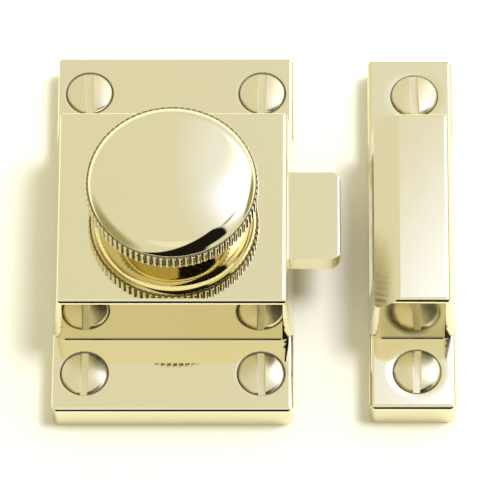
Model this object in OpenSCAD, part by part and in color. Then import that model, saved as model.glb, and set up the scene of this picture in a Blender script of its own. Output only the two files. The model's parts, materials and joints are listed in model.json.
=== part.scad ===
// Cupboard knob catch: a cast brass case with a sliding spring bolt that a
// milled knob draws back, and a separate hollow keeper with a ramp.
// The back of both castings lies on z = 0, +y points up the plate,
// +x points from the case to the keeper, and the knob turns about z.
// The origin is the centre of the case's four fixing screws.

/* [Case] */
// Width of the plate and of the raised case
plate_w = 44.5; // [42:0.5:50]
// Length of the plate
plate_len = 74; // [72:0.5:82]
// Thickness of the plate
plate_t = 6; // [5.2:0.2:6.6]
// Length of the raised case at its foot
case_len = 41.9; // [39.4:0.5:43.4]
// Height of the case's front over the mounting plane
case_h = 19; // [18.5:0.25:21]
// How far the case sits below the middle of the plate
case_drop = 1.5; // [0:0.25:2]
// Thickness of the case's side and end walls
wall_t = 3; // [2.6:0.1:3.4]
// Thickness of the case's front wall
front_t = 3.5; // [3.4:0.1:4]
// How far each raised wall leans in at its top
wall_lean = 1.2; // [0.8:0.1:1.4]
// Rounding of the castings' outer edges
edge_r = 0.9; // [0.5:0.1:1.2]
// Rounding of the plates' upright corners
corner_r = 1.6; // [1:0.1:2]
// Radius of the coves where the raised parts meet their plates
cove_r = 0.4; // [0.3:0.1:0.6]
// Thickness of the sheet that closes the back
cover_t = 1.5; // [1.2:0.1:2]
// Width of the ledge that the back cover lies on
cover_lap = 1.2; // [0.8:0.1:1.4]

/* [Fixing screws] */
// Distance of the screws from the sides of the plate
screw_inset_x = 6; // [5.6:0.1:7]
// Distance of the screws from the ends of the plate
screw_inset_y = 7.7; // [6.6:0.1:8.2]
// Diameter of a screw's head
head_d = 8.6; // [7.8:0.1:9]
// Height of a head's raised crown over its rim
crown_h = 1.3; // [1.1:0.1:1.8]
// Diameter of a screw's plain shank
shank_d = 4.2; // [3.6:0.1:4.6]
// Mean diameter of a screw's thread
thread_d = 3.6; // [3:0.1:3.9]
// Length of a screw from its rim to its point
screw_len = 19; // [16:1:25]
// Width of a screw's slot
slot_w = 1.3; // [0.8:0.1:1.6]
// Depth of a head's rim under the plate's front
head_sink = 0.7; // [0.6:0.1:0.9]
// Width of the gap round a head
ring_gap = 0.2; // [0.1:0.05:0.4]
// Width of the buffed dish round a hole of the case
dish_w = 0.5; // [0.3:0.1:0.6]

/* [Bolt and spring] */
// Width of the bolt
bolt_w = 18; // [17:0.25:19]
// Thickness of the bolt
bolt_t = 4; // [3.4:0.1:4.2]
// How far the bolt stands out of the case at rest
bolt_reach = 8.6; // [8.5:0.1:11]
// Travel of the bolt
bolt_travel = 8; // [6.5:0.25:8.5]
// Rounding of the tongue's corners
tongue_r = 1.8; // [1:0.1:2.5]
// Diameter of the drive peg
peg_d = 2.6; // [2:0.1:3]
// Outer diameter of the spring
spring_d = 4.2; // [3.8:0.1:4.4]
// Wire diameter of the spring
wire_d = 0.4; // [0.3:0.05:0.5]
// Number of turns in the spring
spring_turns = 8; // [6:1:9]

/* [Knob and spindle] */
// Diameter of the knob over its milled rim
knob_d = 31.75; // [29:0.25:34]
// Height of the rim's middle over the front of the case
knob_lift = 7.8; // [7.4:0.1:9]
// Width of the milled rim
rim_w = 3.5; // [2.8:0.1:4]
// Number of teeth round the rim
rim_teeth = 84; // [60:1:96]
// Height of the rim's teeth
tooth_h = 0.45; // [0.35:0.05:0.6]
// Radius of the knob's rounded shoulder
shoulder_r = 4; // [3.6:0.1:4.6]
// Slope of the shoulder where it meets the rim
shoulder_end = 55; // [50:1:65]
// Rise of the knob's front over its rim
dome_rise = 2.7; // [2.6:0.1:3.2]
// Radius of the knob's underside next to the rim
bun_round = 2.4; // [1.6:0.1:2.8]
// Diameter of the knob's neck
neck_d = 11.6; // [10:0.2:13]
// Angle that the knob turns through
turn_deg = 75; // [72:1:80]
// Diameter of the spindle in its bush
spindle_d = 7; // [6.4:0.1:7.4]
// Thickness of the tappet on the spindle
tappet_t = 2.6; // [2:0.1:3]

/* [Keeper] */
// Width of the keeper
keeper_w = 16; // [15:0.25:19]
// Length of the keeper's plate
keeper_len = 73; // [71:0.5:82]
// Length of the keeper's raised box at its foot
keeper_box_len = 41.4; // [39.4:0.5:42.4]
// Gap between the plate and the keeper
keeper_gap = 13.85; // [12:0.25:20]
// Width of the keeper's ramp
ramp_w = 5.1; // [4.6:0.1:5.8]
// Drop of the ramp at its outer edge
ramp_drop = 2.6; // [2.2:0.1:2.8]
// Rounding of the ridge above the ramp
ridge_r = 1.8; // [1:0.1:2.4]
// Length of the mouth that the bolt enters
mouth_len = 26; // [22:0.5:29]
// Offset of the keeper's screws from its middle
keeper_screw_shift = 0.8; // [0:0.1:1.2]
// Thickness of the keeper's walls
keeper_wall = 2.4; // [2:0.1:2.8]
// Width of the buffed dish round a hole of the keeper
keeper_dish_w = 1.4; // [0.8:0.1:1.5]

/* [Hidden] */
$fn = 96;

// Clearances
over = 1;                 // how far a cut runs past the face it opens
merge = 0.1;              // how far shapes of one piece run into each other
slide_gap = 0.2;          // round a sliding or turning piece
fit_gap = 0.03;           // round a pressed or screwed piece
bush_gap = 0.06;          // round the spindle in its bush
lift_gap = 0.4;           // between the bolt and the tappet behind it
stop_gap = 0.25;          // between the spindle and its slot in the bolt
seat_gap = 0.02;          // under the heads of the screws
loose_gap = 0.1;          // round the spring, the cover and its screws
shank_gap = 0.2;          // round the shanks of the fixing screws
coil_gap = 0.3;           // between the spring and its guide

// Levels, from the mounting plane to the front
face_z = case_h - front_t;
bolt_top = face_z - slide_gap;
bolt_base = bolt_top - bolt_t;
tappet_top = bolt_base - lift_gap;
tappet_base = tappet_top - tappet_t;
bolt_mid = (bolt_top + bolt_base) / 2;

// Castings
cove_end = 0.2;           // how far a cove stops short of a block's corners
centre_y = -case_drop;
hollow_w = plate_w - 2 * wall_t;
hollow_len = case_len - 2 * wall_t;
rib_t = 2;                // thickness of the ribs beside the bolt
rib_y = bolt_w / 2 + slide_gap;

// Back cover and its screws
cover_w = hollow_w + 2 * cover_lap;
cover_len = hollow_len + 2 * cover_lap;
boss_r = 2.6;
boss_in = 2.2;            // distance of a boss's middle from the walls
boss_x = hollow_w / 2 - boss_in;
boss_y = hollow_len / 2 - boss_in;
small_r = 1.1;            // shank of a cover screw
small_head_r = 2.1;
small_len = 7;
boss_hole = small_len + 1;
small_slot = [0.6, 0.5];  // width and depth

// Fixing screws
hole_r = shank_d / 2 + shank_gap;
sink_r = head_d / 2;
plain_len = plate_t - head_sink + seat_gap; // from a head's rim to the thread
point_r = 0.2;
screw_x = plate_w / 2 - screw_inset_x;
screw_y = plate_len / 2 - screw_inset_y;
slot_depth = crown_h * 0.85;
point_len = 5;
dish_start = 4;           // slope of a dish at its outer edge
dish_end = 32;            // slope of a dish at the hole

// Bolt: the tappet's edge is an involute of base_r, so the bolt moves by
// base_r for each radian of the knob
base_r = bolt_travel / (turn_deg * PI / 180);
push_start = 2.5;         // from the spindle's axis to the edge at rest
peg_r = peg_d / 2;
peg_gap = 0.1;            // between the tappet's edge and the peg at rest
peg_x = -(push_start + peg_gap + peg_r);
peg_y = centre_y - base_r;
peg_head = 2.4;           // length that is riveted into the bolt
peg_wall = 1.4;           // metal of the bolt behind the peg
tail_x = peg_x - peg_r - peg_wall;
tip_x = plate_w / 2 + bolt_reach;
slot_r = spindle_d / 2 + stop_gap;
slot_run = bolt_travel + slide_gap;
nose_r = bolt_t / 2;
tongue_edge = 0.5;

// Spring and its guide
seat_depth = 0.8;
seat_x = -(hollow_w / 2 + seat_depth);
spring_drop = 0.2;        // from the middle of the bolt's thickness
spring_z = bolt_mid - spring_drop;
guide_r = spring_d / 2 - wire_d - coil_gap;
guide_len = hollow_w / 2 + tail_x - bolt_travel - coil_gap;
guide_root = 2.2;
guide_root_r = 0.9;

// Spindle, bush and tappet
spindle_r = spindle_d / 2;
bush_wall = 1.3;
bush_r = spindle_r + bush_gap + bush_wall;
flange_r = bush_r + 1.6;
flange_t = 0.9;
neck_gap = 0.3;           // between the bush's flange and the knob
neck_z = case_h + flange_t + neck_gap;
stem_step = 0.5;          // shoulder of the spindle under the knob
stem_r = spindle_r - stem_step;
stem_len = 8;
stem_room = 0.3;          // between the stem's end and the bottom of its hole
square_w = spindle_d * 0.7;
square_len = tappet_t - 0.1;
hub_r = spindle_r + 2;
washer_r = spindle_r + 0.4;
washer_t = 0.8;
washer_gap = 0.15;        // round the tappet's screw in its washer
pin_r = 1.5;              // tappet screw
pin_len = 5.5;
pin_head_r = 2.9;
pin_head_t = 2;
pin_slot = [0.8, 1];       // width and depth
arm_w = 2;                // width of the tappet's tip
arm_rise = 0.6;

// Knob
knob_r = knob_d / 2;
root_r = knob_r - tooth_h;
rim_round = 0.4;          // rounding of the teeth's ends
lip = 0.1;                // step from the teeth to the smooth turning
body_r = knob_r - max(tooth_h, rim_round) - lip;
rim_mid = case_h + knob_lift;
rim_low = rim_mid - rim_w / 2;
rim_high = rim_mid + rim_w / 2;
shoulder_x = body_r - shoulder_r * sin(shoulder_end);
shoulder_z = rim_high - shoulder_r * cos(shoulder_end);
dome_up = rim_high + dome_rise - shoulder_z;
dome_r = (pow(shoulder_x, 2) + pow(dome_up, 2) - pow(shoulder_r, 2)) / (2 * (dome_up - shoulder_r));
dome_z = rim_high + dome_rise - dome_r;
dome_tilt = atan2(shoulder_x, shoulder_z - dome_z);
dome_end = shoulder_x + shoulder_r * sin(dome_tilt);
neck_len = 0.7;           // height of the straight neck
neck_step = 1;            // ledge between the neck and the underside
bun_z = neck_z + neck_len;
bun_x = neck_d / 2 + neck_step;
bun_mid = [body_r - bun_round, rim_low];
bun_arm = [bun_x, bun_z] - bun_mid;
bun_slope = atan2(bun_arm[1], bun_arm[0]) + acos(bun_round / norm(bun_arm));
bun_end = bun_mid + bun_round * [cos(bun_slope), sin(bun_slope)];
tooth_share = 0.72;       // radius of a tooth in half pitches of the rim
tooth_r = knob_r * PI / rim_teeth * tooth_share;

// Keeper
keeper_x = plate_w / 2 + keeper_gap;
keeper_mid = keeper_x + keeper_w / 2;
keeper_screw_x = keeper_mid + keeper_screw_shift;
keeper_screw_y = keeper_len / 2 - screw_inset_y;
mouth_gap = 0.3;          // over the bolt in the mouth
mouth_sill = 1.3;         // height of the mouth's lower edge over the plate
mouth_top = bolt_top + mouth_gap;
mouth_base = plate_t + mouth_sill;

// Shapes used by several pieces

// A rectangle from x = 0 to w and y = 0 to h with its two upper corners round
module top_round(w, h, r) {
    square([w, h - r]);
    translate([r, 0]) square([w - 2 * r, h]);
    for (x = [r, w - r]) translate([x, h - r]) circle(r);
}

// A rectangle about the origin with four round corners
module round_rect(w, h, r) {
    square([w - 2 * r, h], center = true);
    square([w, h - 2 * r], center = true);
    for (x = [-1, 1], y = [-1, 1])
        translate([x * (w / 2 - r), y * (h / 2 - r)]) circle(r);
}

// A plate on z = 0 about x = y = 0, round on every edge but its lower ones
module cast_plate(w, len) {
    intersection() {
        linear_extrude(plate_t) round_rect(w, len, corner_r);
        translate([-w / 2, len / 2, 0]) rotate([90, 0, 0])
            linear_extrude(len) top_round(w, plate_t, edge_r);
        translate([-w / 2, -len / 2, 0]) rotate([90, 0, 90])
            linear_extrude(w) top_round(len, plate_t, edge_r);
    }
}

// Section of a raised block that is w wide up to the plate's front and leans
// in above it, with its two upper corners round
module leaning_side(w) {
    lean = atan2(wall_lean, case_h - plate_t);
    cut = edge_r * tan((90 - lean) / 2);
    x = w / 2 - wall_lean;
    half = [
        [w / 2, 0], [w / 2, plate_t],
        [x + cut * sin(lean), case_h - cut * cos(lean)], [x - cut, case_h]
    ];
    for (side = [0, 1]) mirror([side, 0]) {
        polygon(concat([[0, 0]], half, [[0, case_h]]));
        translate([x - cut, case_h - edge_r]) circle(edge_r);
    }
}

// A raised block about x = y = 0, w by len at its foot, with conical corners
module raised_block(w, len) {
    x = w / 2 - wall_lean - edge_r;
    y = len / 2 - wall_lean - edge_r;
    intersection() {
        union() {
            translate([-x, -len, 0]) cube([2 * x, 2 * len, case_h]);
            translate([-w, -y, 0]) cube([2 * w, 2 * y, case_h]);
            for (i = [-x, x], k = [-y, y]) translate([i, k, 0]) {
                cylinder(r = edge_r + wall_lean, h = plate_t);
                translate([0, 0, plate_t])
                    cylinder(r1 = edge_r + wall_lean, r2 = edge_r, h = case_h - plate_t);
            }
        }
        translate([0, len / 2, 0]) rotate([90, 0, 0]) linear_extrude(len) leaning_side(w);
        translate([-w / 2, 0, 0]) rotate([90, 0, 90]) linear_extrude(w) leaning_side(len);
    }
}

// The countersunk hole of a fixing screw in a plate whose front is at z, with
// a dish of width dish buffed round its edge
module screw_hole(z, dish) {
    ring_r = sink_r + ring_gap;
    dish_r = dish / (sin(dish_end) - sin(dish_start));
    dish_h = dish_r * (cos(dish_start) - cos(dish_end));
    translate([0, 0, z]) rotate_extrude() difference() {
        translate([0, -dish_h]) square([ring_r + dish, dish_h + over]);
        translate([ring_r + dish_r * sin(dish_end), -dish_r * cos(dish_start)]) circle(dish_r);
    }
    translate([0, 0, -over]) cylinder(r = hole_r, h = z + 2 * over);
    translate([0, 0, z - head_sink - sink_r + hole_r])
        cylinder(r1 = hole_r, r2 = sink_r, h = sink_r - hole_r);
    translate([0, 0, z - head_sink]) cylinder(r = ring_r, h = head_sink);
}

// A slotted countersunk wood screw with a raised head, its rim at z = 0
module wood_screw(turn) {
    head_r = head_d / 2;
    shank_r = shank_d / 2;
    ball_r = (pow(head_r, 2) + pow(crown_h, 2)) / (2 * crown_h);
    difference() {
        rotate_extrude() difference() {
            polygon([
                [0, crown_h], [head_r, crown_h], [head_r, 0], [shank_r, shank_r - head_r],
                [shank_r, -plain_len], [thread_d / 2, -plain_len],
                [thread_d / 2, point_len - screw_len], [point_r, -screw_len], [0, -screw_len]
            ]);
            difference() {
                square([head_r + over, crown_h + over]);
                translate([0, crown_h - ball_r]) circle(ball_r, $fn = 180);
            }
        }
        rotate(turn) translate([-slot_w / 2, -head_d, crown_h - slot_depth])
            cube([slot_w, 2 * head_d, slot_depth + over]);
    }
}

// Castings

// The two coves between a plate and a block of length len that rises from it
module coves(w, len) {
    strip_w = w - 2 * (edge_r + wall_lean + cove_end);
    for (side = [0, 1]) mirror([0, side, 0]) translate([-strip_w / 2, len / 2, plate_t])
        rotate([90, 0, 90]) linear_extrude(strip_w) difference() {
            translate([-over, -over]) square(cove_r + over);
            translate([cove_r, cove_r]) circle(cove_r);
        }
}

module case_outside() {
    cast_plate(plate_w, plate_len);
    translate([0, centre_y, 0]) {
        raised_block(plate_w, case_len);
        coves(plate_w, case_len);
    }
}

module case_hollow() {
    translate([0, centre_y, 0]) difference() {
        translate([-hollow_w / 2, -hollow_len / 2, -over])
            cube([hollow_w, hollow_len, face_z + over]);
        for (x = [-1, 1], y = [-1, 1]) translate([x * boss_x, y * boss_y, cover_t])
            cylinder(r = boss_r, h = case_h);
        for (side = [-1, 1]) translate([0, side * (rib_y + rib_t / 2), (bolt_base + case_h) / 2])
            cube([2 * hollow_w, rib_t, case_h - bolt_base], center = true);
    }
    translate([-cover_w / 2, centre_y - cover_len / 2, -over])
        cube([cover_w, cover_len, cover_t + over]);
    for (x = [-1, 1], y = [-1, 1])
        translate([x * boss_x, centre_y + y * boss_y, 0]) cylinder(r = small_r + fit_gap, h = boss_hole);
}

module case() color("gold") {
    difference() {
        case_outside();
        case_hollow();
        // Mouth for the bolt in the right wall
        translate([0, centre_y - rib_y, bolt_base - slide_gap])
            cube([plate_w, 2 * rib_y, bolt_t + 2 * slide_gap]);
        // Seat of the spring in the left wall
        translate([seat_x, centre_y, spring_z]) rotate([0, 90, 0])
            cylinder(r = spring_d / 2 + loose_gap, h = seat_depth + over);
        // Seat of the bush in the front wall
        translate([0, centre_y, case_h / 2]) cylinder(r = bush_r + fit_gap, h = case_h);
        for (x = [-1, 1], y = [-1, 1])
            translate([x * screw_x, y * screw_y, 0]) screw_hole(plate_t, dish_w);
    }
}

// What the ramp and its rounded ridge take off the keeper's box, seen from
// the side with the foot of the left wall at x = 0
module ramp_cut() {
    slope = atan2(ramp_drop, ramp_w - wall_lean);
    side = ridge_r * tan(slope / 2);
    ramp_end = [ramp_w - side * cos(slope), case_h - side * sin(slope)];
    ridge_x = ramp_w + side;
    difference() {
        polygon([
            [-over, case_h - (ramp_w + over) * tan(slope)], ramp_end, [ridge_x, case_h],
            [ridge_x, case_h + over], [-over, case_h + over]
        ]);
        translate([ridge_x, case_h - ridge_r]) circle(ridge_r);
    }
}

module keeper() color("gold") translate([keeper_mid, 0, 0]) {
    inside_w = keeper_w - 2 * keeper_wall;
    inside_len = keeper_box_len - 2 * keeper_wall;
    difference() {
        union() {
            cast_plate(keeper_w, keeper_len);
            translate([0, centre_y, 0]) {
                raised_block(keeper_w, keeper_box_len);
                coves(keeper_w, keeper_box_len);
            }
        }
        translate([-keeper_w / 2, keeper_len, 0]) rotate([90, 0, 0])
            linear_extrude(2 * keeper_len) ramp_cut();
        // Hollow behind the box, up to the top of the mouth
        translate([-inside_w / 2, centre_y - inside_len / 2, -over])
            cube([inside_w, inside_len, mouth_top + over]);
        // Mouth in the left wall
        translate([-keeper_w, centre_y - mouth_len / 2, mouth_base])
            cube([keeper_w, mouth_len, mouth_top - mouth_base]);
        for (y = [-1, 1])
            translate([keeper_screw_shift, y * keeper_screw_y, 0]) screw_hole(plate_t, keeper_dish_w);
    }
}

// Back cover and its screws

module back_cover() color("goldenrod") {
    difference() {
        translate([0, centre_y, 0]) linear_extrude(cover_t)
            square([cover_w - 2 * loose_gap, cover_len - 2 * loose_gap], center = true);
        for (x = [-1, 1], y = [-1, 1]) translate([x * boss_x, centre_y + y * boss_y, -over]) {
            cylinder(r = small_r + loose_gap, h = cover_t + 2 * over);
            cylinder(r1 = small_head_r + over, r2 = small_r, h = over + small_head_r - small_r);
        }
    }
}

module cover_screw(x, y) color("darkgoldenrod")
    translate([x * boss_x, centre_y + y * boss_y, 0]) difference() {
        union() {
            cylinder(r1 = small_head_r, r2 = small_r, h = small_head_r - small_r);
            cylinder(r = small_r, h = small_len);
        }
        translate([-small_slot[0] / 2, -small_head_r, -over])
            cube([small_slot[0], 2 * small_head_r, small_slot[1] + over]);
    }

module cover_screw_1() cover_screw(-1, 1);
module cover_screw_2() cover_screw(1, 1);
module cover_screw_3() cover_screw(-1, -1);
module cover_screw_4() cover_screw(1, -1);

// Fixing screws

module fixing_screw(x, y, turn) color("khaki")
    translate([x, y, plate_t - head_sink + seat_gap]) wood_screw(turn);

module case_screw_top_left() fixing_screw(-screw_x, screw_y, 4);
module case_screw_top_right() fixing_screw(screw_x, screw_y, -9);
module case_screw_bottom_left() fixing_screw(-screw_x, -screw_y, -3);
module case_screw_bottom_right() fixing_screw(screw_x, -screw_y, 8);
module keeper_screw_top() fixing_screw(keeper_screw_x, keeper_screw_y, 10);
module keeper_screw_bottom() fixing_screw(keeper_screw_x, -keeper_screw_y, -5);

// Knob, spindle and tappet

module front_bush() color("goldenrod") translate([0, centre_y, 0]) difference() {
    union() {
        translate([0, 0, face_z]) cylinder(r = bush_r, h = front_t);
        translate([0, 0, case_h]) cylinder(r = flange_r, h = flange_t);
    }
    translate([0, 0, face_z - over]) cylinder(r = spindle_r + bush_gap, h = front_t + flange_t + 2 * over);
}

// Half section of the knob: dome, shoulder, rim core, bun and neck
module knob_section() {
    intersection() {
        translate([0, dome_z]) circle(dome_r, $fn = 360);
        translate([0, rim_high]) square([dome_end, dome_rise]);
    }
    translate([shoulder_x, shoulder_z]) intersection() {
        circle(shoulder_r, $fn = 180);
        translate([-shoulder_r, rim_high - shoulder_z]) square(2 * shoulder_r);
    }
    translate([0, rim_low]) square([body_r, rim_w]);
    intersection() {
        translate(bun_mid) circle(bun_round, $fn = 180);
        translate([0, bun_z]) square([body_r, rim_low - bun_z]);
    }
    polygon([[0, bun_z], [bun_x, bun_z], bun_end, [bun_end[0], rim_low], [0, rim_low]]);
    translate([0, neck_z]) square([neck_d / 2, neck_len + merge]);
}

// The milled rim: a ring of round axial teeth with rounded ends
module milled_rim() {
    intersection() {
        translate([0, 0, rim_low]) linear_extrude(rim_w) union() {
            circle(root_r);
            for (i = [0:rim_teeth - 1])
                rotate(i * 360 / rim_teeth) translate([knob_r - tooth_r, 0]) circle(tooth_r, $fn = 24);
        }
        rotate_extrude() union() {
            translate([0, rim_low]) square([knob_r - rim_round, rim_w]);
            translate([0, rim_low + rim_round]) square([knob_r + merge, rim_w - 2 * rim_round]);
            for (z = [rim_low + rim_round, rim_high - rim_round])
                translate([knob_r - rim_round, z]) circle(rim_round);
        }
    }
}

module knob() color("gold") translate([0, centre_y, 0]) difference() {
    union() {
        rotate_extrude($fn = 180) knob_section();
        milled_rim();
    }
    translate([0, 0, neck_z - over]) cylinder(r = stem_r + fit_gap, h = stem_len + stem_room + over);
}

module spindle() color("goldenrod") translate([0, centre_y, 0]) difference() {
    union() {
        translate([0, 0, tappet_top]) cylinder(r = spindle_r, h = neck_z - tappet_top);
        translate([0, 0, neck_z]) cylinder(r = stem_r, h = stem_len);
        translate([-square_w / 2, -square_w / 2, tappet_top - square_len])
            cube([square_w, square_w, square_len]);
    }
    translate([0, 0, tappet_top - square_len - over]) cylinder(r = pin_r + fit_gap, h = pin_len + over);
}

// A point of the tappet's pushing edge, which meets the peg after a turn of a
function edge_point(a) = let (s = push_start + base_r * a * PI / 180)
    [base_r * sin(a) - s * cos(a), -base_r * cos(a) - s * sin(a)];

module tappet() color("darkgoldenrod") translate([0, centre_y, tappet_base]) {
    last = turn_deg + 4;
    tip = edge_point(last);
    difference() {
        union() {
            cylinder(r = hub_r, h = tappet_t);
            linear_extrude(tappet_t) polygon(concat(
                [[-hub_r * 0.8, -hub_r * 0.4]],
                [for (a = [-8:2:last]) edge_point(a)],
                [tip + [arm_w, arm_rise], [hub_r, 0], [0, 0]]
            ));
        }
        translate([-square_w / 2 - fit_gap, -square_w / 2 - fit_gap, -over])
            cube([square_w + 2 * fit_gap, square_w + 2 * fit_gap, tappet_t + 2 * over]);
    }
}

module tappet_washer() color("silver") translate([0, centre_y, tappet_base - washer_t]) difference() {
    cylinder(r = washer_r, h = washer_t);
    translate([0, 0, -over]) cylinder(r = pin_r + washer_gap, h = washer_t + 2 * over);
}

module tappet_screw() color("silver") translate([0, centre_y, tappet_base - washer_t - pin_head_t])
    difference() {
        union() {
            cylinder(r = pin_head_r, h = pin_head_t);
            cylinder(r = pin_r, h = pin_head_t + pin_len);
        }
        translate([-pin_slot[0] / 2, -pin_head_r, -over])
            cube([pin_slot[0], 2 * pin_head_r, pin_slot[1] + over]);
    }

// Bolt, peg, guide and spring

module bolt_plan() {
    tongue_x = tip_x - tongue_r;
    translate([tail_x, -bolt_w / 2]) square([tongue_x - tail_x, bolt_w]);
    translate([tongue_x - 1, tongue_r - bolt_w / 2]) square([tongue_r + 1, bolt_w - 2 * tongue_r]);
    for (y = [-1, 1]) translate([tongue_x, y * (bolt_w / 2 - tongue_r)]) circle(tongue_r);
}

// The bolt from the side: a small round on the front edge, a full one behind
module bolt_side() {
    translate([tail_x, nose_r]) square([tip_x - tongue_edge - tail_x, bolt_t - nose_r]);
    translate([tail_x, 0]) square([tip_x - nose_r - tail_x, bolt_t]);
    translate([tip_x - nose_r, nose_r]) circle(nose_r);
    translate([tip_x - 2 * tongue_edge, nose_r]) square([2 * tongue_edge, bolt_t - nose_r - tongue_edge]);
    translate([tip_x - tongue_edge, bolt_t - tongue_edge]) circle(tongue_edge);
}

module bolt() color("gold") translate([0, centre_y, bolt_base]) difference() {
    intersection() {
        linear_extrude(bolt_t) bolt_plan();
        translate([0, bolt_w / 2, 0]) rotate([90, 0, 0]) linear_extrude(bolt_w) bolt_side();
    }
    // Slot for the spindle
    translate([0, 0, -over]) linear_extrude(bolt_t + 2 * over) union() {
        circle(slot_r);
        translate([slot_run, 0]) circle(slot_r);
        translate([0, -slot_r]) square([slot_run, 2 * slot_r]);
    }
    // Holes for the peg and for the spring's guide
    translate([peg_x, -base_r, -over]) cylinder(r = peg_r + fit_gap, h = peg_head + over);
    translate([tail_x - over, 0, spring_z - bolt_base]) rotate([0, 90, 0])
        cylinder(r = guide_root_r + fit_gap, h = guide_root + over);
}

module bolt_peg() color("silver")
    translate([peg_x, peg_y, tappet_base]) cylinder(r = peg_r, h = bolt_base + peg_head - tappet_base);

module spring_guide() color("silver") translate([tail_x, centre_y, spring_z]) rotate([0, 90, 0]) {
    cylinder(r = guide_root_r, h = guide_root);
    translate([0, 0, -guide_len]) cylinder(r = guide_r, h = guide_len);
}

// One ring of wire_sides points round the coil at angle a
wire_sides = 6;
steps_per_turn = 16;
function coil_ring(a, len) = let (
    mean_r = (spring_d - wire_d) / 2,
    pitch = (len - wire_d) / spring_turns,
    x = wire_d / 2 + pitch * a / 360
) [for (k = [0:wire_sides - 1]) let (
    t = k * 360 / wire_sides,
    r = mean_r + wire_d / 2 * cos(t)
) [x + wire_d / 2 * sin(t), r * cos(a), r * sin(a)]];

module bolt_spring() color("silver") translate([seat_x, centre_y, spring_z]) {
    len = tail_x - seat_x;
    rings = spring_turns * steps_per_turn;
    points = [for (i = [0:rings]) each coil_ring(i * 360 / steps_per_turn, len)];
    sides = [for (i = [0:rings - 1], k = [0:wire_sides - 1]) let (
        a = i * wire_sides + k,
        b = i * wire_sides + (k + 1) % wire_sides
    ) [a, a + wire_sides, b + wire_sides, b]];
    first = [for (k = [0:wire_sides - 1]) k];
    last = [for (k = [wire_sides - 1:-1:0]) rings * wire_sides + k];
    polyhedron(points, concat([first], sides, [last]));
}

case();
back_cover();
cover_screw_1();
cover_screw_2();
cover_screw_3();
cover_screw_4();
case_screw_top_left();
case_screw_top_right();
case_screw_bottom_left();
case_screw_bottom_right();
front_bush();
knob();
spindle();
tappet();
tappet_washer();
tappet_screw();
bolt();
bolt_peg();
spring_guide();
bolt_spring();
keeper();
keeper_screw_top();
keeper_screw_bottom();
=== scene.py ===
import json
import math

import bmesh
import bpy
from mathutils import Matrix, Vector


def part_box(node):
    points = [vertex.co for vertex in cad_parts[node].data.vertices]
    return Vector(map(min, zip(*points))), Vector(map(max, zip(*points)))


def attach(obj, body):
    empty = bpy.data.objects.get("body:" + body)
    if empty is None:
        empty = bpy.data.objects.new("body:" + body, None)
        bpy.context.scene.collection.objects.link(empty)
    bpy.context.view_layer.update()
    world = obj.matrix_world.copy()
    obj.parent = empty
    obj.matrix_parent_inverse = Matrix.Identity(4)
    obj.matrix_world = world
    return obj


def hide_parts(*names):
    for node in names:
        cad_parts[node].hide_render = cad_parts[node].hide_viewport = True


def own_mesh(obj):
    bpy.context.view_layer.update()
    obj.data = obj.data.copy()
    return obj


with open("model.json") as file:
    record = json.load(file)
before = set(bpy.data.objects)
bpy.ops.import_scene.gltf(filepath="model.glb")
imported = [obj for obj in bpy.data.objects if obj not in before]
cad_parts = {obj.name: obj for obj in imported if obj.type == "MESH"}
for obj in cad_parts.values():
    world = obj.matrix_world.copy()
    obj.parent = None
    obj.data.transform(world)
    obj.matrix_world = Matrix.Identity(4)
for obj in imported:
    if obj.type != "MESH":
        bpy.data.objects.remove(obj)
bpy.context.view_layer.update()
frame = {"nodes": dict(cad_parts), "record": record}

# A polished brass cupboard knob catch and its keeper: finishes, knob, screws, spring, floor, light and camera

nodes = frame["nodes"]
MM = 0.001
TAU = 2 * math.pi

# Named places and sizes, in millimetres

KNOB_LO, KNOB_HI = (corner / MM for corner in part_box("knob"))
AXIS_Y = (KNOB_LO.y + KNOB_HI.y) / 2
PLATE_T = 6.0
HEAD_R = 4.3

# Outer radius of the dishes round the screws of each casting
DISH_REACH = {"case": 5.15, "keeper": 6.1}
# Share by which the dishes shade as if they were flat
DISH_CALM = 0.86
# Width of the soft edge of that shading
DISH_FADE = 0.2
# Distances from a head's edge between which the dirt and painted shade in its seam fade out
SEAM_START = 0.12
SEAM_END = 0.32
SEAM_SHARE = 0.85
# Colours of the dirt and painted shade in the screws' seams and of the painted shade between the knob's
# teeth, and their roughness
SEAM_DIRT_AND_SHADE = (0.09, 0.06, 0.02)
TOOTH_SHADE = (0.19, 0.15, 0.06)
DIRT_AND_SHADE_ROUGH = 0.5


# Materials

def node_adder(tree):
    """A function that adds a node to a tree with its inputs linked or set."""
    def add(kind, inputs=(), **settings):
        made = tree.nodes.new(kind)
        for key, value in settings.items():
            setattr(made, key, value)
        for key, value in dict(inputs).items():
            if isinstance(value, bpy.types.NodeSocket):
                tree.links.new(value, made.inputs[key])
            else:
                made.inputs[key].default_value = value
        return made
    return add


def shader_tree(name):
    """A new material with its node tree, its shader and a function that adds a node."""
    material = bpy.data.materials.new(name)
    material.use_nodes = True
    tree = material.node_tree
    return material, tree, tree.nodes["Principled BSDF"], node_adder(tree)


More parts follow.
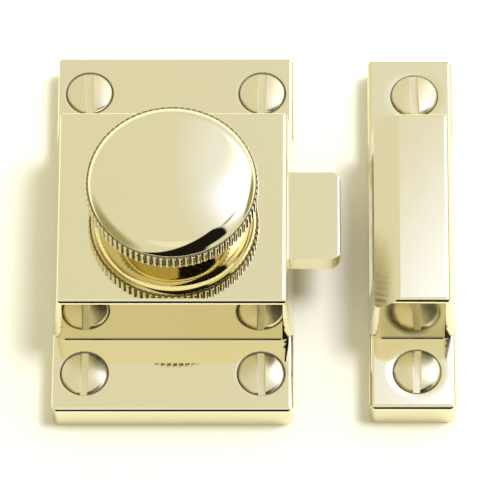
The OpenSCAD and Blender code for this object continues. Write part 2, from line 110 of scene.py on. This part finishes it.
def polished(name, light, deep, rough, wave, scratch):
    """Polished metal: slow colour drift, a wavy hand-worked face and fine polishing marks."""
    material, tree, shader, add = shader_tree(name)
    place = add("ShaderNodeTexCoord").outputs["Object"]
    drift = add("ShaderNodeTexNoise", {"Vector": place, "Scale": 45.0, "Detail": 2.0})
    colour = add("ShaderNodeMix", {"Factor": drift.outputs["Fac"]}, data_type="RGBA")
    colour.inputs["A"].default_value = (*light, 1)
    colour.inputs["B"].default_value = (*deep, 1)
    tree.links.new(colour.outputs["Result"], shader.inputs["Base Color"])
    haze = add("ShaderNodeTexNoise", {"Vector": place, "Scale": 260.0, "Detail": 4.0})
    roughness = add("ShaderNodeMapRange", {"Value": haze.outputs["Fac"], "From Min": 0.3, "From Max": 0.75,
                                           "To Min": rough * 0.7, "To Max": rough * 1.5})
    tree.links.new(roughness.outputs["Result"], shader.inputs["Roughness"])
    waves = add("ShaderNodeTexNoise", {"Vector": place, "Scale": 90.0, "Detail": 1.0})
    marks = add("ShaderNodeTexNoise", {"Vector": place, "Scale": 2600.0, "Detail": 2.0})
    worked = add("ShaderNodeBump", {"Height": waves.outputs["Fac"], "Strength": 1.0, "Distance": wave})
    marked = add("ShaderNodeBump", {"Height": marks.outputs["Fac"], "Strength": 1.0, "Distance": scratch,
                                    "Normal": worked.outputs["Normal"]})
    tree.links.new(marked.outputs["Normal"], shader.inputs["Normal"])
    shader.inputs["Metallic"].default_value = 1.0
    return material


def add_dirt_and_shade(material, share, colour):
    """A dull dark colour over a material, in the share that a socket gives: dirt and painted shade in the
    screws' seams, painted shade between the knob's teeth.
    """
    tree = material.node_tree
    shader, add = tree.nodes["Principled BSDF"], node_adder(tree)
    for name, kind, value in (("Base Color", "RGBA", (*colour, 1)), ("Roughness", "FLOAT", DIRT_AND_SHADE_ROUGH)):
        socket = shader.inputs[name]
        clean = socket.links[0].from_socket
        blend = add("ShaderNodeMix", {"Factor": share}, data_type=kind)
        tree.links.new(clean, blend.inputs["A"])
        blend.inputs["B"].default_value = value
        tree.links.new(blend.outputs["Result"], socket)


def level_distance(add, centre):
    """Distance from an upright line through a point, in metres."""
    place = add("ShaderNodeTexCoord").outputs["Object"]
    apart = add("ShaderNodeVectorMath", {0: place, 1: centre}, operation="SUBTRACT").outputs["Vector"]
    level = add("ShaderNodeVectorMath", {0: apart, 1: Vector((1, 1, 0))}, operation="MULTIPLY")
    return add("ShaderNodeVectorMath", {0: level.outputs["Vector"]}, operation="LENGTH").outputs["Value"]


def paint_groove_shade(material, axis_y, inner, outer, colour):
    """Painted shade on a turned piece that fades out between two radii from its axis, as between a rim's
    teeth.
    """
    add = node_adder(material.node_tree)
    radius = level_distance(add, Vector((0, axis_y, 0)))
    into = add("ShaderNodeMapRange", {"Value": radius, "From Min": inner - 0.1 * MM,
                                      "From Max": inner - 0.06 * MM}).outputs["Result"]
    out = add("ShaderNodeMapRange", {"Value": radius, "From Min": inner, "From Max": outer,
                                     "To Min": 1.0, "To Max": 0.0},
              interpolation_type="SMOOTHSTEP").outputs["Result"]
    share = add("ShaderNodeMath", {0: into, 1: out}, operation="MULTIPLY").outputs[0]
    add_dirt_and_shade(material, share, colour)


def soften_dishes(material, screws, reach):
    """Turns a casting's shading towards upright round its screws, with dirt and painted shade in the seam at
    each head.
    """
    tree = material.node_tree
    shader, add = tree.nodes["Principled BSDF"], node_adder(tree)
    nearest = 1.0
    for name in screws:
        away = level_distance(add, sum(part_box(name), Vector()) / 2)
        nearest = add("ShaderNodeMath", {0: nearest, 1: away}, operation="MINIMUM").outputs[0]
    place = add("ShaderNodeTexCoord").outputs["Object"]
    height = add("ShaderNodeSeparateXYZ", {"Vector": place}).outputs["Z"]
    front = add("ShaderNodeMath", {0: height, 1: PLATE_T / 2 * MM}, operation="GREATER_THAN").outputs[0]

    def ring(start, stop, inside):
        """A share within a distance of a screw's middle, on the front of the casting only."""
        share = add("ShaderNodeMapRange", {"Value": nearest, "From Min": start * MM, "From Max": stop * MM,
                                           "To Min": inside, "To Max": 0.0}).outputs["Result"]
        return add("ShaderNodeMath", {0: share, 1: front}, operation="MULTIPLY").outputs[0]

    # Dirt and painted shade: a dark ring in the seam round each screw head
    add_dirt_and_shade(material, ring(HEAD_R + SEAM_START, HEAD_R + SEAM_END, SEAM_SHARE), SEAM_DIRT_AND_SHADE)
    socket = shader.inputs["Normal"]
    calm = add("ShaderNodeMix", {"Factor": ring(reach - DISH_FADE, reach, DISH_CALM)}, data_type="VECTOR")
    tree.links.new(socket.links[0].from_socket, calm.inputs["A"])
    calm.inputs["B"].default_value = (0, 0, 1)
    unit = add("ShaderNodeVectorMath", {0: calm.outputs["Result"]}, operation="NORMALIZE")
    tree.links.new(unit.outputs["Vector"], socket)


def plain_floor():
    """White paper, a little warm, with a fine grain."""
    material, tree, shader, add = shader_tree("floor_paper")
    place = add("ShaderNodeTexCoord").outputs["Object"]
    grain = add("ShaderNodeTexNoise", {"Vector": place, "Scale": 900.0, "Detail": 3.0})
    colour = add("ShaderNodeMix", {"Factor": grain.outputs["Fac"]}, data_type="RGBA")
    colour.inputs["A"].default_value = (0.96, 0.93, 0.74, 1)
    colour.inputs["B"].default_value = (0.98, 0.95, 0.77, 1)
    tree.links.new(colour.outputs["Result"], shader.inputs["Base Color"])
    shader.inputs["Roughness"].default_value = 0.9
    shader.inputs["Specular IOR Level"].default_value = 0.1
    return material


# Colours of each finish in its light and deep patches, then roughness, wave and scratch heights in metres
BRIGHT, DEEP = (0.87, 0.81, 0.57), (0.85, 0.78, 0.53)
POLISH = BRIGHT, DEEP, 0.035, 0.0000015, 0.00000005
SOFT_POLISH = BRIGHT, DEEP, 0.115, 0.0000015, 0.00000005
SCREW_FINISH = (0.86, 0.79, 0.53), (0.81, 0.73, 0.47), 0.27, 0.000001, 0.0000002
TURNED_FINISH = (0.74, 0.64, 0.38), (0.66, 0.55, 0.30), 0.25, 0.000002, 0.000002
STEEL_FINISH = (0.62, 0.61, 0.60), (0.55, 0.54, 0.53), 0.2, 0.000001, 0.000001
BY_SLOT = {
    "polished_brass": polished("brass_polished", *POLISH),
    "screw_brass": polished("brass_screw", *SCREW_FINISH),
    "turned_brass": polished("brass_turned", *TURNED_FINISH),
    "bright_steel": polished("steel_bright", *STEEL_FINISH),
}
SLOT_OF = {part["node"]: part["material_slot"] for part in frame["record"]["subparts"]}

for name, slot in SLOT_OF.items():
    nodes[name].data.materials.clear()
    nodes[name].data.materials.append(BY_SLOT[slot])

for name, finish in (("case", POLISH), ("keeper", SOFT_POLISH)):
    cast_brass = polished("brass_" + name, *finish)
    screws = [screw for screw in SLOT_OF if screw.startswith(name + "_screw")]
    soften_dishes(cast_brass, screws, DISH_REACH[name])
    nodes[name].data.materials[0] = cast_brass


# Meshes

def piece(name, verts, faces, body, node):
    """A smooth mesh from points in millimetres, which rides on a body and stands for a CAD node."""
    mesh = bpy.data.meshes.new(name)
    mesh.from_pydata([Vector(v) * MM for v in verts], [], faces)
    mesh.polygons.foreach_set("use_smooth", [True] * len(mesh.polygons))
    mesh.materials.append(BY_SLOT[SLOT_OF[node]])
    obj = bpy.data.objects.new(name, mesh)
    bpy.context.scene.collection.objects.link(obj)
    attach(obj, body)
    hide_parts(node)
    return obj


def crisp(obj, degrees):
    """Marks the edges that are sharper than an angle, so that they shade as edges."""
    work = bmesh.new()
    work.from_mesh(obj.data)
    bmesh.ops.recalc_face_normals(work, faces=work.faces)
    for edge in work.edges:
        edge.smooth = not (edge.is_manifold and edge.calc_face_angle(0.0) > math.radians(degrees))
    work.to_mesh(obj.data)
    work.free()


def wall(rows, closed=True):
    """Faces between rows of points, each a closed ring of one length, and back to the first row if closed."""
    n = len(rows[0])
    verts = [point for row in rows for point in row]
    faces = [(i * n + k, i * n + (k + 1) % n, (i + 1) * n + (k + 1) % n, (i + 1) * n + k)
             for i in range(len(rows) - 1) for k in range(n)]
    if closed:
        last = (len(rows) - 1) * n
        faces += [(last + k, last + (k + 1) % n, (k + 1) % n, k) for k in range(n)]
    return verts, faces


def arc(centre, radius, start, stop, steps):
    """Points (r, z) on an arc, with angles in degrees from the r axis."""
    return [(centre[0] + radius * math.cos(math.radians(start + (stop - start) * i / steps)),
             centre[1] + radius * math.sin(math.radians(start + (stop - start) * i / steps)))
            for i in range(steps + 1)]


def turned(profile, sides, centre):
    """Points and faces of a turned solid from its (r, z) profile, which starts and ends on the axis."""
    rows = [[(centre[0] + r * math.cos(TAU * k / sides), centre[1] + r * math.sin(TAU * k / sides), z)
             for k in range(sides)] for r, z in profile[1:-1]]
    verts, faces = wall(rows, closed=False)
    first, last = len(verts), len(verts) + 1
    verts += [(centre[0], centre[1], profile[0][1]), (centre[0], centre[1], profile[-1][1])]
    base = (len(rows) - 1) * sides
    faces += [(first, (k + 1) % sides, k) for k in range(sides)]
    faces += [(last, base + k, base + (k + 1) % sides) for k in range(sides)]
    return verts, faces


def join(*shells):
    """Several closed shells as one list of points and faces."""
    verts, faces = [], []
    for more_verts, more_faces in shells:
        offset = len(verts)
        verts += more_verts
        faces += [tuple(v + offset for v in face) for face in more_faces]
    return verts, faces


# Knob

KNOB_R = (KNOB_HI.x - KNOB_LO.x) / 2
KNOB_SIDES = 240
TEETH = 84
TOOTH_H = 0.45
# Radius of a tooth's round top, as a share of half its pitch
TOOTH_ROUND = 0.72
# Rounding at the ends of the teeth
TOOTH_EDGE = 0.4
# How deep the ring of teeth reaches into the knob's body
RING_DEPTH = 0.6
ROOT_R = KNOB_R - TOOTH_H
BODY_R = ROOT_R - 0.1
RIM_W = 3.5
NECK_Z = KNOB_LO.z
NECK_R = 5.8
NECK_STEP = 1.0
NECK_LEN = 0.7
NECK_CHAMFER = 0.2
NECK_FILLET = 0.3
SHOULDER_R = 4.0
SHOULDER_END = 55.0
DOME_RISE = 2.7
BUN_ROUND = 2.4
RIM_HIGH = KNOB_HI.z - DOME_RISE
RIM_LOW = RIM_HIGH - RIM_W


def knob_body():
    """The turned body: neck, conical underside, rim, shoulder and dome."""
    shoulder_x = BODY_R - SHOULDER_R * math.sin(math.radians(SHOULDER_END))
    shoulder_z = RIM_HIGH - SHOULDER_R * math.cos(math.radians(SHOULDER_END))
    dome_up = KNOB_HI.z - shoulder_z
    dome_r = (shoulder_x ** 2 + dome_up ** 2 - SHOULDER_R ** 2) / (2 * (dome_up - SHOULDER_R))
    dome_z = KNOB_HI.z - dome_r
    tilt = math.degrees(math.atan2(shoulder_x, shoulder_z - dome_z))
    foot = (NECK_R + NECK_STEP, NECK_Z + NECK_LEN)
    bun_mid = (BODY_R - BUN_ROUND, RIM_LOW)
    arm = (foot[0] - bun_mid[0], foot[1] - bun_mid[1])
    slope = math.degrees(math.atan2(arm[1], arm[0]) + math.acos(BUN_ROUND / math.hypot(*arm)))
    profile = [(0, NECK_Z), (NECK_R - NECK_CHAMFER, NECK_Z), (NECK_R, NECK_Z + NECK_CHAMFER)]
    profile.append((NECK_R, foot[1] - NECK_FILLET))
    profile += arc((NECK_R + NECK_FILLET, foot[1] - NECK_FILLET), NECK_FILLET, 180, 90, 6)[1:]
    profile += [(foot[0] - 0.1, foot[1]), (foot[0] + 0.1, foot[1] + 0.05)]
    profile += arc(bun_mid, BUN_ROUND, slope, 0, 32)
    profile += [(BODY_R, RIM_LOW + 0.05), (BODY_R, RIM_HIGH - 0.05)]
    profile += arc((shoulder_x, shoulder_z), SHOULDER_R, 90 - SHOULDER_END, 90 - tilt, 24)
    profile += arc((0, dome_z), dome_r, 90 - tilt, 90, 24)[1:]
    return turned(profile, KNOB_SIDES, (0, AXIS_Y))


def knob_teeth():
    """The ring of round axial teeth, with rounded ends."""
    steps = 12
    bead = KNOB_R * math.pi / TEETH * TOOTH_ROUND

    def reach(k):
        """Radius of the ring's outside at a step round it."""
        a = (k % steps / steps - 0.5) * TAU / TEETH * KNOB_R
        return max(ROOT_R, KNOB_R - bead + math.sqrt(max(bead ** 2 - a ** 2, 0.0)))

    outer = [reach(k) for k in range(TEETH * steps)]
    inner = BODY_R - RING_DEPTH
    quarter = [math.radians(90 * i / 4) for i in range(5)]
    # Each level is a radius, or with "in" an inset from the tips of the teeth, and its height
    levels = [(inner, None, RIM_LOW)]
    levels += [(TOOTH_EDGE * (1 - math.sin(a)), "in", RIM_LOW + TOOTH_EDGE * (1 - math.cos(a)))
               for a in quarter]
    levels += [(TOOTH_EDGE * (1 - math.cos(a)), "in", RIM_HIGH - TOOTH_EDGE * (1 - math.sin(a)))
               for a in quarter]
    levels.append((inner, None, RIM_HIGH))
    rows = []
    for size, kind, z in levels:
        row = []
        for k, far in enumerate(outer):
            r = size if kind is None else min(far, KNOB_R - size)
            t = TAU * k / len(outer)
            row.append((r * math.cos(t), AXIS_Y + r * math.sin(t), z))
        rows.append(row)
    return wall(rows)


knob = piece("knob_turned", *join(knob_body(), knob_teeth()), "turning", "knob")
crisp(knob, 42)
milled_brass = polished("brass_milled", *POLISH)
# Painted shade: the grooves between the knob's teeth are darkened in the material's colour
paint_groove_shade(milled_brass, AXIS_Y * MM, ROOT_R * MM, (KNOB_R - 0.05) * MM, TOOTH_SHADE)
knob.data.materials[0] = milled_brass


# Fixing screws

CROWN_H = 1.3
CROWN_SLOPE = 13
CROWN_EDGE = 0.65
SLOT_W = 1.3
SLOT_DEPTH = 1.1
SLOT_EASE = 0.07
SHANK_R = 2.1
THREAD_R = 2.05
THREAD_ROOT = 1.55
THREAD_PITCH = 2.6
# Half the width of the thread's foot, as a share of its pitch
THREAD_FOOT = 0.28
# Lengths over which the thread rises to its full height and the shank narrows to its root
THREAD_RISE = 1.5
SHANK_STEP = 0.4
# Depth of the plain shank under the head's rim, as a share of the plate's thickness
SHANK_SHARE = 0.98
POINT_LEN = 5.0
# Smallest share in the point's taper, which leaves it a little blunt, and the power of that taper
POINT_TIP = 0.03
POINT_CURVE = 0.8
# Turn of each slot from upright, in degrees
SLOT_TURNS = {"case_screw_top_left": 2, "case_screw_top_right": -3,
              "case_screw_bottom_left": -1, "case_screw_bottom_right": 2,
              "keeper_screw_top": 3, "keeper_screw_bottom": -2}


def head_height(x, y):
    """Height of a head's crown over its rim, rounded at the head's edge and eased at the slot's edges."""
    tilt = math.radians(CROWN_SLOPE)
    ball = (HEAD_R - CROWN_EDGE * (1 - math.sin(tilt))) / math.sin(tilt)
    out = math.hypot(x, y)
    crown = CROWN_H - ball + math.sqrt(ball ** 2 - out ** 2)
    if out > ball * math.sin(tilt):
        middle = CROWN_H - ball + (ball - CROWN_EDGE) * math.cos(tilt)
        crown = middle + math.sqrt(max(CROWN_EDGE ** 2 - (out - HEAD_R + CROWN_EDGE) ** 2, 0.0))
    edge = abs(x) - SLOT_W / 2
    if edge < 0:
        return CROWN_H - SLOT_DEPTH
    if edge < SLOT_EASE:
        crown -= SLOT_EASE - math.sqrt(SLOT_EASE ** 2 - (SLOT_EASE - edge) ** 2)
    return crown


def screw_mesh(centre, rim_z, point_z, turn):
    """A countersunk screw: a crowned head with a slot, a shank and a thread that runs out at the point."""
    half = SLOT_W / 2
    ease = [half + SLOT_EASE * i / 4 for i in (4, 3, 2, 1, 0.25)]
    slot = [half - 0.001, half / 2]
    side = [HEAD_R * math.sin(math.radians(a)) for a in range(88, 10, -4)]
    right = side + ease + slot
    columns = [-x for x in right] + [0.0] + right[::-1]
    runs = 36
    verts, grid = [], []
    for x in columns:
        low = min(0.0, head_height(x, 0))
        chord = math.sqrt((HEAD_R + low) ** 2 - x * x)
        line = []
        for j in range(runs + 1):
            y = chord * math.sin(math.radians(180 * j / runs - 90))
            line.append(len(verts))
            verts.append((x, y, head_height(x, y)))
        grid.append(line)
    faces = [(a[j], b[j], b[j + 1], a[j + 1]) for a, b in zip(grid, grid[1:]) for j in range(runs)]
    loop = [line[0] for line in grid] + grid[-1][1:-1] + [line[-1] for line in grid[::-1]] + grid[0][-2:0:-1]
    angles = [math.atan2(verts[i][1], verts[i][0]) for i in loop]
    thread_top = -SHANK_SHARE * PLATE_T
    length = rim_z - point_z

    def radius(z, a):
        """Radius of the screw under its head's rim, at a height and an angle."""
        if z >= SHANK_R - HEAD_R:
            return HEAD_R + z
        if z > thread_top:
            return SHANK_R
        wave = (z / THREAD_PITCH - a / TAU) % 1.0
        crest = max(0.0, 1 - abs(wave - 0.5) / THREAD_FOOT)
        start = min(1.0, (thread_top - z) / THREAD_RISE)
        taper = min(1.0, max(POINT_TIP, (z + length) / POINT_LEN) ** POINT_CURVE)
        return (THREAD_ROOT + (THREAD_R - THREAD_ROOT) * crest * start + (SHANK_R - THREAD_ROOT)
                * max(0.0, 1 - (thread_top - z) / SHANK_STEP)) * taper

    levels = [-0.001, -0.02, CROWN_H - SLOT_DEPTH - 0.02, SHANK_R - HEAD_R + 0.05, SHANK_R - HEAD_R - 0.05,
              thread_top]
    steps = 120
    levels += [thread_top + (-length - thread_top) * i / steps for i in range(1, steps + 1)]
    previous = loop
    for z in levels:
        row = [len(verts) + k for k in range(len(loop))]
        for corner, a in zip(loop, angles):
            level = min(z, verts[corner][2])
            verts.append((radius(level, a) * math.cos(a), radius(level, a) * math.sin(a), level))
        faces += [(previous[k], row[k], row[(k + 1) % len(row)], previous[(k + 1) % len(row)])
                  for k in range(len(row))]
        previous = row
    faces.append(tuple(previous))
    spin = Matrix.Rotation(math.radians(turn), 4, "Z")
    place = Matrix.Translation((centre.x, centre.y, rim_z)) @ spin
    return [place @ Vector(v) for v in verts], faces


for name, turn in SLOT_TURNS.items():
    lo, hi = (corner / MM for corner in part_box(name))
    centre = (lo + hi) / 2
    screw = piece(name + "_threaded", *screw_mesh(centre, hi.z - CROWN_H, lo.z, turn), "fixed", name)
    crisp(screw, 35)


# Spring

SPRING_D = 4.2
WIRE_D = 0.4
SPRING_TURNS = 8


def spring_mesh(lo, hi):
    """The coil between the bolt's tail and its seat, along x."""
    sides, steps = 12, 40
    middle_y, middle_z = (lo.y + hi.y) / 2, (lo.z + hi.z) / 2
    mean = (SPRING_D - WIRE_D) / 2
    run = hi.x - lo.x - WIRE_D
    rows = []
    for i in range(SPRING_TURNS * steps + 1):
        a = TAU * i / steps
        x = lo.x + WIRE_D / 2 + run * i / (SPRING_TURNS * steps)
        row = []
        for k in range(sides):
            t = TAU * k / sides
            r = mean + WIRE_D / 2 * math.cos(t)
            row.append((x + WIRE_D / 2 * math.sin(t), middle_y + r * math.cos(a), middle_z + r * math.sin(a)))
        rows.append(row)
    verts, faces = wall(rows, closed=False)
    faces += [tuple(range(sides)), tuple(range(len(verts) - 1, len(verts) - 1 - sides, -1))]
    return verts, faces


spring_lo, spring_hi = (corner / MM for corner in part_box("bolt_spring"))
spring = piece("bolt_spring_coil", *spring_mesh(spring_lo, spring_hi), "fixed", "bolt_spring")
crisp(spring, 60)
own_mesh(spring)


# Floor, light and camera

FLOOR_HALF = 3.0
FLOOR_DROP = 0.02


def floor():
    """A wide square just under the mounting plane."""
    corners = [(x * FLOOR_HALF, y * FLOOR_HALF, 0) for x, y in ((-1, -1), (1, -1), (1, 1), (-1, 1))]
    mesh = bpy.data.meshes.new("floor")
    mesh.from_pydata(corners, [], [(0, 1, 2, 3)])
    obj = bpy.data.objects.new("floor", mesh)
    obj.location.z = -FLOOR_DROP * MM
    mesh.materials.append(plain_floor())
    bpy.context.scene.collection.objects.link(obj)


TENT = (0.84, 0.825, 0.70)
OPENING = (0.012, 0.011, 0.008)
# Soft round patches of the tent, later ones over earlier ones: direction, inner and outer angle, colour
PATCHES = [
    ((-0.9, -0.35, 0.2), 12, 42, (0.42, 0.36, 0.18)),    # olive low on the left
    ((0, -0.28, 0.96), 8, 19, (0.98, 0.97, 0.90)),       # pale overhead
    ((0.70, 0.40, 0.59), 32, 48, (1.0, 1.03, 1.15)),     # white round the window
    ((0.70, 0.40, 0.59), 25, 34, (1.7, 1.7, 1.8)),       # the window
    ((0.50, 0.07, 0.865), 3, 9, (0.42, 0.36, 0.18)),     # small olive gap high on the right
    ((0.97, 0.24, 0.05), 12, 24, (0.36, 0.32, 0.17)),    # olive low on the right
]


def studio_world():
    """A pale tent with a window on the right, olive patches and a dark opening before the viewer."""
    world = bpy.data.worlds.new("studio")
    bpy.context.scene.world = world
    world.use_nodes = True
    tree = world.node_tree
    background = tree.nodes["Background"]
    add = node_adder(tree)
    way = add("ShaderNodeTexCoord").outputs["Generated"]

    def along(direction):
        """Cosine of the angle between the ray and a direction."""
        return add("ShaderNodeVectorMath", {0: way, 1: Vector(direction).normalized()},
                   operation="DOT_PRODUCT").outputs["Value"]

    def step(value, start, stop, low=0.0, high=1.0):
        """A smooth step of a value from start to stop."""
        return add("ShaderNodeMapRange", {"Value": value, "From Min": start, "From Max": stop,
                                          "To Min": low, "To Max": high},
                   interpolation_type="SMOOTHSTEP").outputs["Result"]

    def side(direction, soft, offset=0.0):
        """One on the side of a circle of sky that a direction points to, with a soft edge in degrees."""
        edge = math.sin(math.radians(soft))
        return step(along(direction), offset - edge, offset + edge)

    def patch(direction, inner, outer):
        """A soft round patch of sky about a direction, in degrees from its middle."""
        return step(along(direction), math.cos(math.radians(outer)), math.cos(math.radians(inner)))

    def product(*factors):
        result = factors[0]
        for more in factors[1:]:
            result = add("ShaderNodeMath", {0: result, 1: more}, operation="MULTIPLY").outputs[0]
        return result

    def mix(share, first, second):
        """A blend of two colours, each a socket or three numbers."""
        made = add("ShaderNodeMix", {"Factor": share}, data_type="RGBA")
        for name, colour in (("A", first), ("B", second)):
            if isinstance(colour, bpy.types.NodeSocket):
                tree.links.new(colour, made.inputs[name])
            else:
                made.inputs[name].default_value = (*colour, 1)
        return made.outputs["Result"]

    high = along((0, 0, 1))
    # The low right of the sky stays pale, because the back of the object mirrors it
    low_right = product(step(along((1, 0, 0)), 0.50, 0.66), step(high, 0.32, 0.48, 1.0, 0.0))
    # The opening lies between two circles of sky, over the horizon and off the low right
    opening = product(side((0.749, -0.013, -0.663), 1.0, -0.48), side((-0.534, -0.816, 0.225), 1.5),
                      step(high, 0.02, 0.07), step(low_right, 0.0, 1.0, 1.0, 0.0))
    colour = TENT
    for direction, inner, outer, shade in PATCHES:
        colour = mix(patch(direction, inner, outer), colour, shade)
    colour = mix(opening, colour, OPENING)
    tree.links.new(colour, background.inputs["Color"])


def key_light():
    """Soft light from above and a little right, which lays the shadows down on the left."""
    data = bpy.data.lights.new("key", "SUN")
    data.energy = 2.0
    data.angle = math.radians(20)
    data.color = (0.88, 0.91, 1.04)
    obj = bpy.data.objects.new("key", data)
    obj.rotation_euler = Vector((0.42, 0.10, 1.0)).to_track_quat("Z", "Y").to_euler()
    obj.visible_glossy = False
    bpy.context.scene.collection.objects.link(obj)


def softbox():
    """A soft cool light above, which the keeper's face and the knob's right side reflect."""
    data = bpy.data.lights.new("softbox", "AREA")
    data.shape = "RECTANGLE"
    data.size, data.size_y = 150 * MM, 130 * MM
    data.energy = 0.13
    data.color = (0.40, 0.48, 1.0)
    data.use_nodes = True
    tree = data.node_tree
    add = node_adder(tree)
    place = add("ShaderNodeSeparateXYZ", {"Vector": add("ShaderNodeNewGeometry").outputs["Parametric"]})
    share = 1.0
    for name in ("X", "Y"):
        for start, stop in ((0.0, 0.45), (1.0, 0.55)):
            edge = add("ShaderNodeMapRange",
                       {"Value": place.outputs[name], "From Min": start, "From Max": stop},
                       interpolation_type="SMOOTHSTEP").outputs["Result"]
            share = add("ShaderNodeMath", {0: share, 1: edge}, operation="MULTIPLY").outputs[0]
    tree.links.new(share, tree.nodes["Emission"].inputs["Strength"])
    obj = bpy.data.objects.new("softbox", data)
    obj.location = Vector((97, 56, 194)) * MM
    away = obj.location - Vector((40, -10, 15)) * MM
    obj.rotation_euler = away.to_track_quat("Z", "Y").to_euler()
    bpy.context.scene.collection.objects.link(obj)


def camera():
    """The photograph's framing: square, from below and a little right of the middle, with level edges."""
    elevation, azimuth = math.radians(63), math.radians(1.2)
    lens = 400.0
    frame_width = 92.9 * MM
    target = Vector((14.1, -3.9, PLATE_T)) * MM
    data = bpy.data.cameras.new("camera")
    data.lens = lens
    data.sensor_width = 36.0
    data.clip_end = 50
    distance = frame_width * lens / data.sensor_width
    away = Vector((math.sin(azimuth) * math.cos(elevation), -math.cos(azimuth) * math.cos(elevation),
                   math.sin(elevation)))
    roll = -math.atan(math.tan(azimuth) * math.sin(elevation))
    turned_to = away.to_track_quat("Z", "Y").to_matrix() @ Matrix.Rotation(roll, 3, "Z")
    obj = bpy.data.objects.new("camera", data)
    obj.location = target + away * distance
    obj.rotation_euler = turned_to.to_euler()
    bpy.context.scene.collection.objects.link(obj)
    bpy.context.scene.camera = obj


floor()
studio_world()
key_light()
softbox()
camera()
bpy.context.scene.view_settings.view_transform = "Standard"
